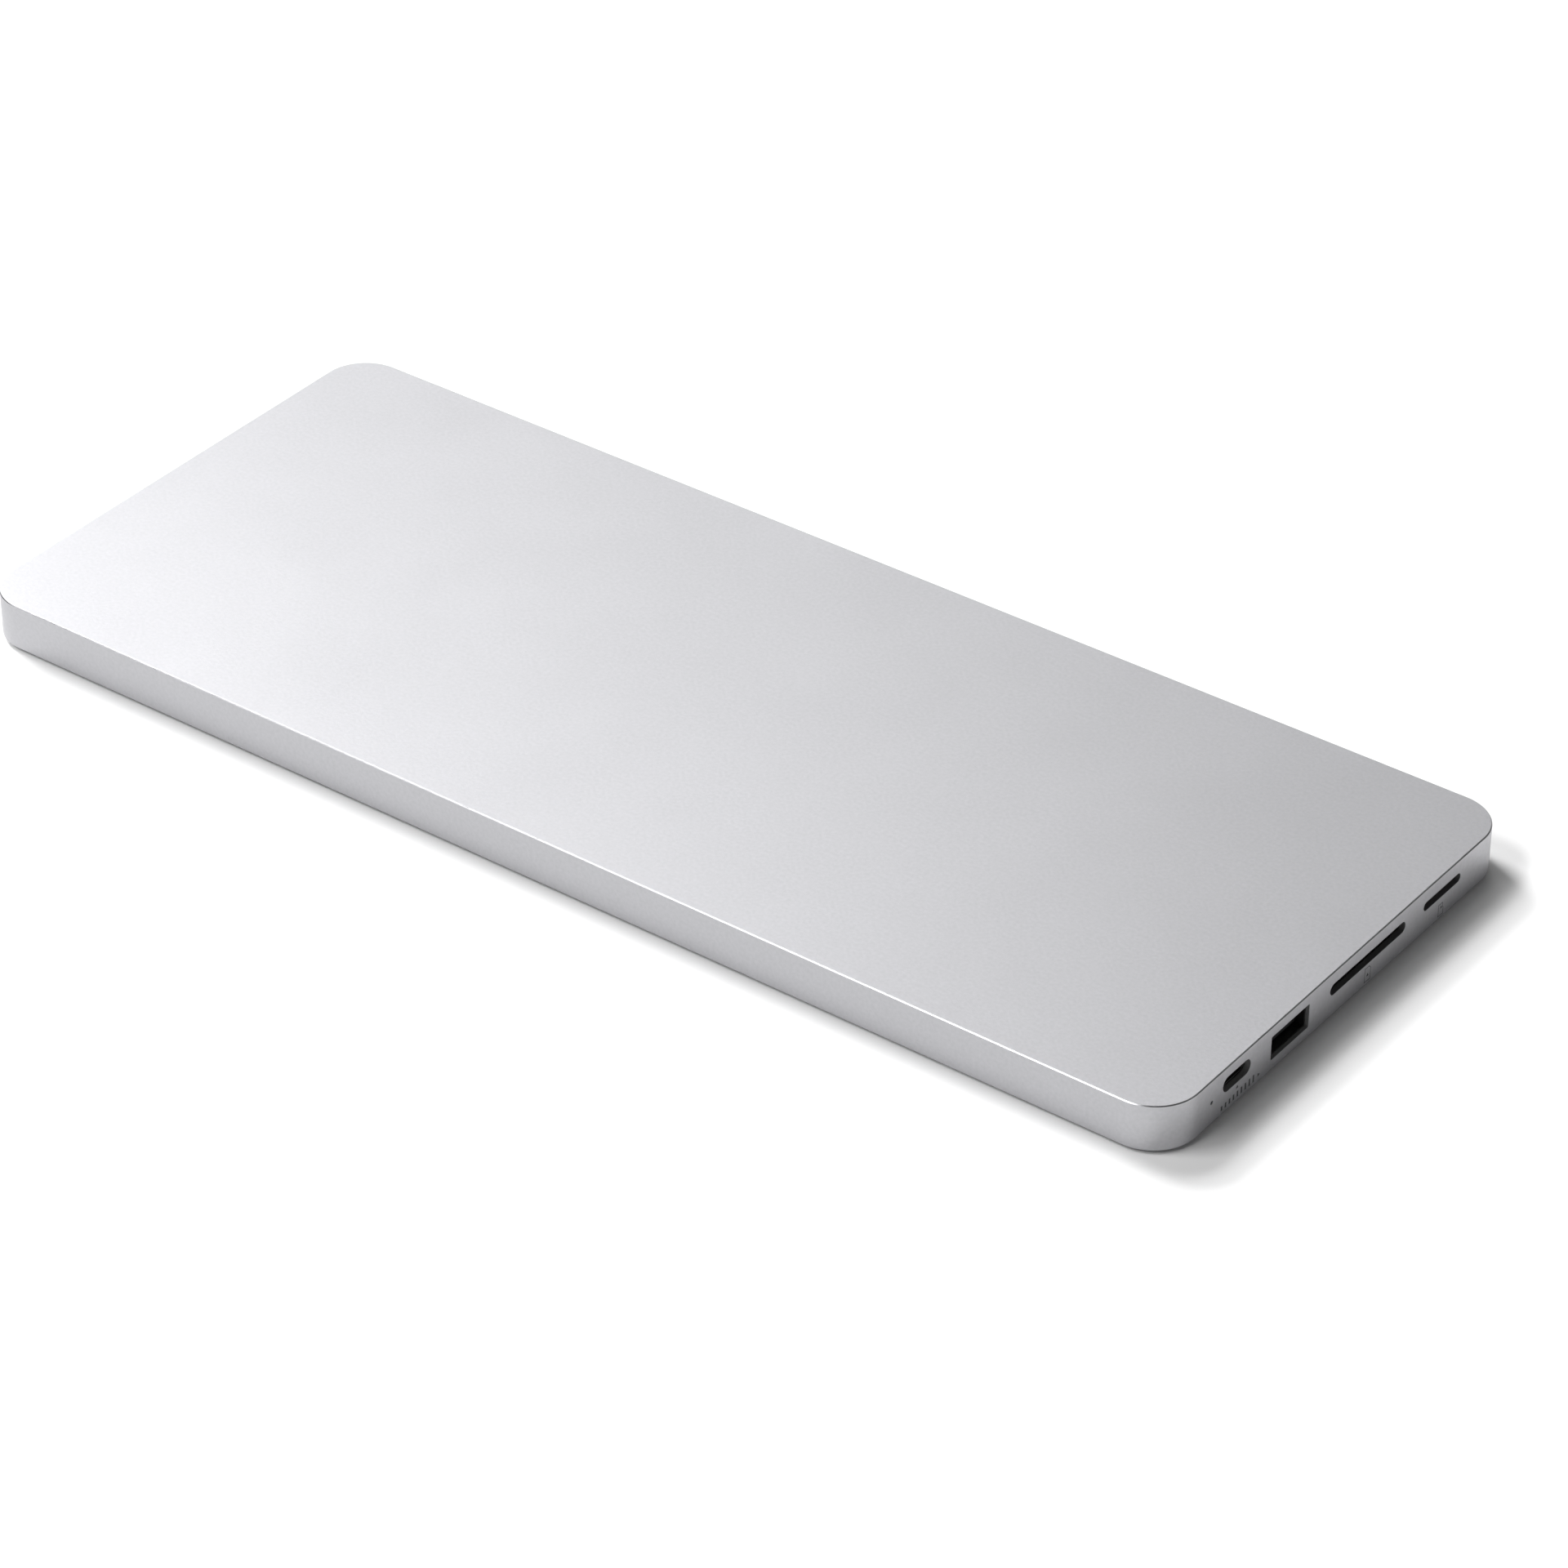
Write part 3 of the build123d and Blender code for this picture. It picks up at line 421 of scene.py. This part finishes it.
def add_housing():
    """Outer skin, cut edge, rim and hollow inside as one closed shell, with the ports cut through it."""
    # each point of the profile is an inset from the outer walls and a height
    profile = [(WALL, TOP_Z - TOP_THICK), (WALL, RIM_Z)]
    profile += [(inset, RIM_Z + rise) for inset, rise in arc(RIM_R, range(0, 91, 18))]
    edge_z = TOP_Z - CHAMFER
    profile += [(0, RIM_Z + RIM_R + HOLD), (0, edge_z - SOFT - HOLD), (0, edge_z - SOFT)]
    profile += [(SOFT * 0.3, edge_z + SOFT * 0.4), (CHAMFER - SOFT * 0.4, TOP_Z - SOFT * 0.3)]
    profile += [(CHAMFER + SOFT, TOP_Z), (CHAMFER + SOFT + HOLD, TOP_Z)]
    rings = [
        [(x, y, z) for x, y in rounded_outline(HALF_X - inset, HALF_Y - inset, CORNER_R - inset, 28)]
        for inset, z in profile
    ]
    bm = bmesh.new()
    bands = loft(bm, rings)
    # the chamfer and its two softened edges
    for face in bands[-4] + bands[-3] + bands[-2]:
        face.material_index = 1
    piece = finish_mesh("housing", bm, [ALUMINIUM, CUT_EDGE, PORT_CUT_PAINTED_SHADE, SLOT_CUT_PAINTED_SHADE])
    for place_and_size in port_places():
        cutter = port_cutter(*place_and_size)
        cut = piece.modifiers.new("port", "BOOLEAN")
        cut.operation = "DIFFERENCE"
        cut.solver = "EXACT"
        cut.material_mode = "TRANSFER"
        cut.object = cutter
        evaluated = piece.evaluated_get(bpy.context.evaluated_depsgraph_get())
        made = bpy.data.meshes.new_from_object(evaluated)
        piece.modifiers.clear()
        old = piece.data
        piece.data = made
        bpy.data.meshes.remove(old)
        bpy.data.objects.remove(cutter)
    bm = bmesh.new()
    bm.from_mesh(piece.data)
    for edge in bm.edges:
        edge.smooth = len(edge.link_faces) == 2 and edge.calc_face_angle(0) < math.radians(SHARP_ANGLE)
    bm.to_mesh(piece.data)
    bm.free()
    piece.data.name = "housing"
    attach(piece, "hub")
    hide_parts("top_housing")


add_housing()


# ---- other pieces made here ----------------------------------------------------------------
def place(piece, node, slot, body="hub"):
    """Gives a piece its body, and lets it stand for its CAD node; its slot is not used."""
    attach(piece, body)
    if node:
        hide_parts(node)


SPLIT = 0.002 * MM  # corners of the CAD mesh that lie closer than this are one
FLAT_ANGLE = 0.4  # degrees, faces that meet flatter than this are one
STEEP_ANGLE = 28  # degrees, edges steeper than this are rounded


def softened(node, width, material, slot, body="hub"):
    """Stands in for a CAD node with the same shape, split corners joined and edges slightly rounded."""
    bm = bmesh.new()
    bm.from_mesh(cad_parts[node].data)
    bmesh.ops.remove_doubles(bm, verts=bm.verts, dist=SPLIT)
    bmesh.ops.dissolve_limit(bm, angle_limit=math.radians(FLAT_ANGLE), verts=bm.verts, edges=bm.edges)
    limit = math.radians(STEEP_ANGLE)
    steep = [e for e in bm.edges if len(e.link_faces) == 2 and e.calc_face_angle(0) > limit]
    made = bmesh.ops.bevel(
        bm,
        geom=steep,
        offset=width,
        segments=2,
        profile=0.5,
        affect="EDGES",
        clamp_overlap=True,
        miter_outer="ARC",
    )
    piece = finish_mesh(node + "_finished", bm, [material], 35, set(made["faces"]))
    place(piece, node, slot, body)


FOOT_RIM_R = 0.35 * MM
FOOT_GROOVE_DEPTH = 0.14
# insets from the foot's outline and depths, in mm: the two sides of the groove, each softened
FOOT_GROOVE = (
    (0.9, 0),
    (0.96, 0.03),
    (1.05, FOOT_GROOVE_DEPTH),
    (1.3, FOOT_GROOVE_DEPTH),
    (1.39, 0.03),
    (1.45, 0),
)


def add_foot(node):
    """Moulded rubber foot: rounded rim, and a shallow groove that leaves a raised pad in the middle."""
    low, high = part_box(node)
    centre = (low + high) / 2
    half_x, half_y = (high.x - low.x) / 2, (high.y - low.y) / 2
    profile = [(0, high.z), (0, low.z + FOOT_RIM_R)]
    # this arc is passed from the foot's side to its face, so its two distances change places
    profile += [(side, low.z + face) for face, side in arc(FOOT_RIM_R, (22, 45, 68, 90))]
    profile += [(inset * MM, low.z + depth * MM) for inset, depth in FOOT_GROOVE]
    rings = []
    for inset, z in profile:
        outline = rounded_outline(half_x - inset, half_y - inset, half_y - inset, 16)
        rings.append([(centre.x + x, centre.y + y, z) for x, y in outline])
    bm = bmesh.new()
    loft(bm, rings)
    place(finish_mesh(node + "_moulded", bm, [RUBBER]), node, "rubber")


PAD_CORNER_R = 0.9 * MM
PAD_STEP = 2.2 * MM  # longest straight piece of the pad's outline
# inset in mm and share of the height, from the glued face to the soft one
PAD_PROFILE = (
    (0.12, 0.0),
    (0.03, 0.25),
    (0.0, 0.5),
    (0.05, 0.78),
    (0.16, 0.93),
    (0.45, 0.985),
    (1.4, 1.0),
)


def add_thermal_pad():
    """Soft silicone sheet: die-cut sides that belly out a little and a face that isn't quite flat."""
    low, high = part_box("ssd_thermal_pad")
    centre = (low + high) / 2
    half_x, half_y = (high.x - low.x) / 2, (high.y - low.y) / 2
    tall = high.z - low.z
    plan = rounded_outline(half_x, half_y, PAD_CORNER_R, 5)
    lengths = [math.hypot(bx - ax, by - ay) for (ax, ay), (bx, by) in zip(plan, plan[1:] + plan[:1])]
    parts = [max(1, round(length / PAD_STEP)) for length in lengths]
    rings = []
    for inset, share in PAD_PROFILE:
        ring = []
        outline = rounded_outline(half_x - inset * MM, half_y - inset * MM, PAD_CORNER_R, 5)
        for (ax, ay), (bx, by), count in zip(outline, outline[1:] + outline[:1], parts):
            for i in range(count):
                x, y = ax + (bx - ax) * i / count, ay + (by - ay) * i / count
                wave = 0.5 + 0.5 * math.sin(x * 900 + 2 * math.sin(y * 700))
                pull = 1 - 0.0016 * wave
                z = low.z + tall * share * (1 - 0.05 * wave)
                ring.append((centre.x + x * pull, centre.y + y * pull, z))
        rings.append(ring)
    bm = bmesh.new()
    loft(bm, rings)
    piece = finish_mesh("ssd_thermal_pad_soft", bm, [PAD], 60)
    place(piece, "ssd_thermal_pad", "thermal_pad", "ssd_door")


def prisms(name, outlines, corner, material, slot):
    """Thin closed plates. corner(u, v, side) gives a point of the near (0) or far (1) side."""
    bm = bmesh.new()
    for outline in outlines:
        loft(bm, [[corner(u, v, side) for u, v in outline] for side in (0, 1)])
    place(finish_mesh(name, bm, [material]), None, slot)


def strokes(points, width, closed=True):
    """Outlines of the straight bars of a drawn line, mitred where they meet."""
    count = len(points)
    left, right = [], []
    for i, (x, y) in enumerate(points):
        before = points[i - 1] if closed or i else points[0]
        after = points[(i + 1) % count] if closed or i < count - 1 else points[-1]
        a = Vector((x - before[0], y - before[1]))
        b = Vector((after[0] - x, after[1] - y))
        a = (a if a.length > 0 else b).normalized()
        b = (b if b.length > 0 else a).normalized()
        across = Vector((-(a + b).y, (a + b).x)).normalized()
        reach = width / 2 / max(0.4, across.dot(Vector((-a.y, a.x))))
        left.append((x + across.x * reach, y + across.y * reach))
        right.append((x - across.x * reach, y - across.y * reach))
    last = count if closed else count - 1
    return [[left[i], right[i], right[(i + 1) % count], left[(i + 1) % count]] for i in range(last)]


def box_outline(x0, y0, x1, y1):
    return [(x0, y0), (x1, y0), (x1, y1), (x0, y1)]


def box_about(x, y, half_x, half_y):
    return box_outline(x - half_x, y - half_y, x + half_x, y + half_y)


def circle(x, y, radius, steps=14):
    angles = [math.radians(360 * i / steps) for i in range(steps)]
    return [(x + radius * math.cos(a), y + radius * math.sin(a)) for a in angles]


def triangle(x, y, size, turn=0):
    """An upright triangle, turned clockwise by a number of degrees."""
    angles = [math.radians(angle - turn) for angle in (90, 210, 330)]
    return [(x + size * math.cos(a), y + size * math.sin(a)) for a in angles]


def moved(points, x, y):
    return [(x + u, y + v) for u, v in points]


# ---- marks on the end wall: places are the distance from the front wall and the height, in mm --
MARK_PROUD = 0.01 * MM
MARK_DEEP = 0.03 * MM
MARK_LINE = 0.13
SD_CARD = ((-1, -1.55), (1, -1.55), (1, 0.95), (0.45, 1.55), (-1, 1.55))
SD_MARK = (66.6, 3.25)
MICRO_SD_CARD = ((-0.85, -1.3), (0.85, -1.3), (0.85, 0.1), (0.55, 0.45), (0.55, 1.3), (-0.85, 1.3))
MICRO_SD_MARK = (92.4, 2.95)
POINTER = 0.5
BAR_COUNT, BAR_START, BAR_STEP, BAR_WIDTH = 9, 17.4, 1.3, 0.5
BAR_FOOT, BAR_TOP, BAR_RISE = 1.9, 2.9, 0.08


def end_wall(u, v, side):
    """A point just inside (0) or just outside (1) the right-hand wall."""
    return (HALF_X + (MARK_PROUD if side else -MARK_DEEP), -HALF_Y + u * MM, v * MM)


def add_end_marks():
    """Plain card pictograms under the two card slots, and pointers and rising bars in place of wording."""
    u, v = SD_MARK
    shapes = strokes(moved(SD_CARD, u, v), MARK_LINE)
    shapes.append(triangle(u, v - 0.25, 0.48))
    u, v = MICRO_SD_MARK
    shapes += strokes(moved(MICRO_SD_CARD, u, v), MARK_LINE)
    shapes.append(triangle(u + 0.05, v + 0.45, 0.42))
    shapes.append(triangle(22.6, 4.2, POINTER))
    shapes.append(triangle(29.7, 2.6, POINTER, 90))
    for i in range(BAR_COUNT):
        u = BAR_START + i * BAR_STEP
        shapes.append(box_outline(u, BAR_FOOT, u + BAR_WIDTH, BAR_TOP + BAR_RISE * i))
    prisms("end_marks", shapes, end_wall, MARK, "housing")


# ---- what is printed and plated on the board's underside -----------------------------------
BOARD_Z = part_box("main_board")[0].z
PRINT_PROUD = 0.025 * MM
PRINT_DEEP = 0.01 * MM
PRINT_LINE = 0.12 * MM
PITCH = 0.5 * MM  # from one contact to the next
CHIP_MARGIN = 1.4 * MM  # width of a chip that has no pads beside it
CHIP_PAD_LONG, CHIP_PAD_NARROW = 0.3 * MM, 0.12 * MM  # half sizes
CHIP_EDGE = 0.95 * MM  # from a chip to its printed outline
SOCKET_PADS = 38
DRIVE_HALF_WIDTH = 11.3 * MM


def board_face(u, v, side):
    """A point just inside (0) or just outside (1) the board's underside."""
    return (u, v, BOARD_Z - PRINT_PROUD if side else BOARD_Z + PRINT_DEEP)


def chip_print(node):
    """The pads along a chip's four sides with a pin-one dot, and its printed outline."""
    low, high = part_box(node)
    centre = (low + high) / 2
    steps = round((high.x - low.x - CHIP_MARGIN) / PITCH)
    pads = [circle(low.x - 1.5 * MM, high.y + 1.5 * MM, 0.25 * MM)]
    for i in range(steps + 1):
        along = (i - steps / 2) * PITCH
        for y in (low.y - CHIP_PAD_LONG, high.y + CHIP_PAD_LONG):
            pads.append(box_about(centre.x + along, y, CHIP_PAD_NARROW, CHIP_PAD_LONG))
        for x in (low.x - CHIP_PAD_LONG, high.x + CHIP_PAD_LONG):
            pads.append(box_about(x, centre.y + along, CHIP_PAD_LONG, CHIP_PAD_NARROW))
    outline = box_outline(low.x - CHIP_EDGE, low.y - CHIP_EDGE, high.x + CHIP_EDGE, high.y + CHIP_EDGE)
    return pads, strokes(outline, PRINT_LINE)


def socket_print():
    """The row of pads behind the drive's socket, and the socket's printed outline."""
    low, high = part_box("m2_socket")
    middle_y = (low.y + high.y) / 2
    pads = []
    for i in range(SOCKET_PADS):
        y = middle_y + (i - SOCKET_PADS / 2 + 0.5) * PITCH
        pads.append(box_outline(high.x - 0.1 * MM, y - 0.13 * MM, high.x + 0.9 * MM, y + 0.13 * MM))
    outline = box_outline(low.x - 0.4 * MM, low.y - 0.4 * MM, high.x + 1.2 * MM, high.y + 0.4 * MM)
    return pads, strokes(outline, PRINT_LINE)


def test_points(sign):
    """A scattered row of larger and a scattered row of smaller points, on one side of the drive."""
    points = []
    for i in range(17):
        points.append(circle((-30 + i * 4) * MM, sign * (15.5 + (i % 3) * 2.2) * MM, 0.42 * MM))
    for i in range(22):
        points.append(circle((-55 + i * 4.4) * MM, sign * (30 + (i * 7 % 5) * 2.6) * MM, 0.24 * MM, 10))
    return points


def add_board_print():
    pads, lines = socket_print()
    for node in ("hub_controller_chip", "drive_bridge_chip", "card_reader_chip"):
        chip_pads, chip_lines = chip_print(node)
        pads += chip_pads
        lines += chip_lines
    # the drive's end line, beside its standoff
    end_x = middle("m2_standoff").x - 2 * MM
    lines += strokes([(end_x, DRIVE_HALF_WIDTH), (end_x, -DRIVE_HALF_WIDTH)], 0.15 * MM, closed=False)
    for sign in (-1, 1):
        pads += test_points(sign)
    prisms("board_pads", pads, board_face, GOLD, "contact")
    prisms("board_outlines", lines, board_face, SILK, "board")


# ---- all pieces ----------------------------------------------------------------------------
add_end_marks()
add_board_print()
add_thermal_pad()
for foot in ("foot_front_left", "foot_front_right", "foot_rear_left", "foot_rear_right"):
    add_foot(foot)
softened("bottom_cover", 0.06 * MM, COVER, "cover")
softened("ssd_door", 0.06 * MM, DOOR, "door", "ssd_door")
for side in ("left", "right"):
    softened("ssd_door_screw_" + side, 0.04 * MM, SCREW, "screw", "door_screw_" + side)
for node in ("bottom_cover_screws", "board_screws", "m2_drive_screw"):
    softened(node, 0.04 * MM, SCREW, "screw")
for port in ("usb_a_data", "usb_a_rear_left", "usb_a_rear_right", "usb_c_data", "usb_c_host"):
    softened(port + "_shell", 0.03 * MM, PORT_SHELL_PAINTED_SHADE, "shell")
    softened(port + "_insulator", 0.05 * MM, PLASTIC, "plastic")
for node in ("m2_socket", "sd_socket_base", "micro_sd_socket_base"):
    softened(node, 0.06 * MM, PLASTIC, "plastic")
for node in ("hub_controller_chip", "drive_bridge_chip", "card_reader_chip", "power_chips"):
    softened(node, 0.04 * MM, EPOXY, "chip")
softened("inductors", 0.25 * MM, FERRITE, "inductor")
softened("crystals", 0.12 * MM, STEEL, "crystal")
softened("tantalum_capacitors", 0.08 * MM, TANTALUM, "tantalum")
softened("chip_capacitors", 0.05 * MM, CERAMIC, "chip_capacitor")
softened("m2_standoff", 0.05 * MM, BRASS, "standoff")

# CAD nodes whose shape is right keep it and only get a better material
KEPT = {
    "main_board": MASK,
    "insulation_film": FILM,
    "light_pipe": PIPE_PAINTED_SHADE,
    "status_led": LENS,
    "sd_socket_cover": STEEL,
    "micro_sd_socket_cover": STEEL,
}
for name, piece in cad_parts.items():
    if name.endswith("_contacts"):
        KEPT[name] = GOLD
    if name in KEPT:
        for material_slot in piece.material_slots:
            material_slot.material = KEPT[name]


# ---- floor and lights ----------------------------------------------------------------------
FLOOR_HALF = 6.0
LIGHT_DISTANCE = 4.0
WORLD_TONE = 0.10
# the places are given; the choice among them and most watts began as a least-squares fit of
# one-light renders to the photograph's tones, and were rounded; several were then changed
SOFTBOXES = [
    # name, azimuth from +X towards +Y and elevation in degrees, width, height, watts
    ("key_left", 168, 52, 1.3, 0.9, 67),
    ("key_left_low", 165, 40, 1.2, 0.6, 102),
    ("front_high_left", 225, 52, 1.3, 0.9, 66),
    ("front_high", 255, 42, 1.3, 0.9, 42),
    ("back_middle", 130, 43, 1.2, 0.7, 10),
    ("back_low_left", 140, 26, 1.3, 0.7, 4.5),
    ("back_low_right", 105, 26, 1.3, 0.7, 3.5),
    ("back_rim", 120, 14, 1.3, 0.6, 7.5),
    ("fill_front_right", 315, 20, 1.8, 1.0, 5.5),
    ("fill_back_right", 20, 18, 1.8, 1.0, 7),
]


def add_floor():
    """Plain pale paper with a very faint unevenness."""
    m = Nodes("floor_paper", roughness=0.9)
    fibre = m.noise(30, 2.0)
    m.colour(m.ramp(fibre, (0.0, grey(0.86)), (1.0, grey(0.875))))
    bm = bmesh.new()
    for x, y in box_about(0, 0, FLOOR_HALF, FLOOR_HALF):
        bm.verts.new((x, y, 0))
    bm.faces.new(bm.verts)
    finish_mesh("floor", bm, [m.material])


def add_softbox(name, azimuth, elevation, width, height, energy):
    """A rectangular soft light that faces the object."""
    data = bpy.data.lights.new(name, "AREA")
    data.shape = "RECTANGLE"
    data.size = width
    data.size_y = height
    data.energy = energy
    lamp = bpy.data.objects.new(name, data)
    bpy.context.scene.collection.objects.link(lamp)
    a, e = math.radians(azimuth), math.radians(elevation)
    away = Vector((math.cos(a) * math.cos(e), math.sin(a) * math.cos(e), math.sin(e)))
    turn = away.to_track_quat("Z", "Y").to_matrix().to_4x4()
    lamp.matrix_world = Matrix.Translation(away * LIGHT_DISTANCE) @ turn


add_floor()
for softbox in SOFTBOXES:
    add_softbox(*softbox)

world = bpy.data.worlds.new("studio")
bpy.context.scene.world = world
world.use_nodes = True
world.node_tree.nodes["Background"].inputs["Color"].default_value = (*grey(WORLD_TONE), 1)
bpy.context.scene.view_settings.view_transform = "Standard"
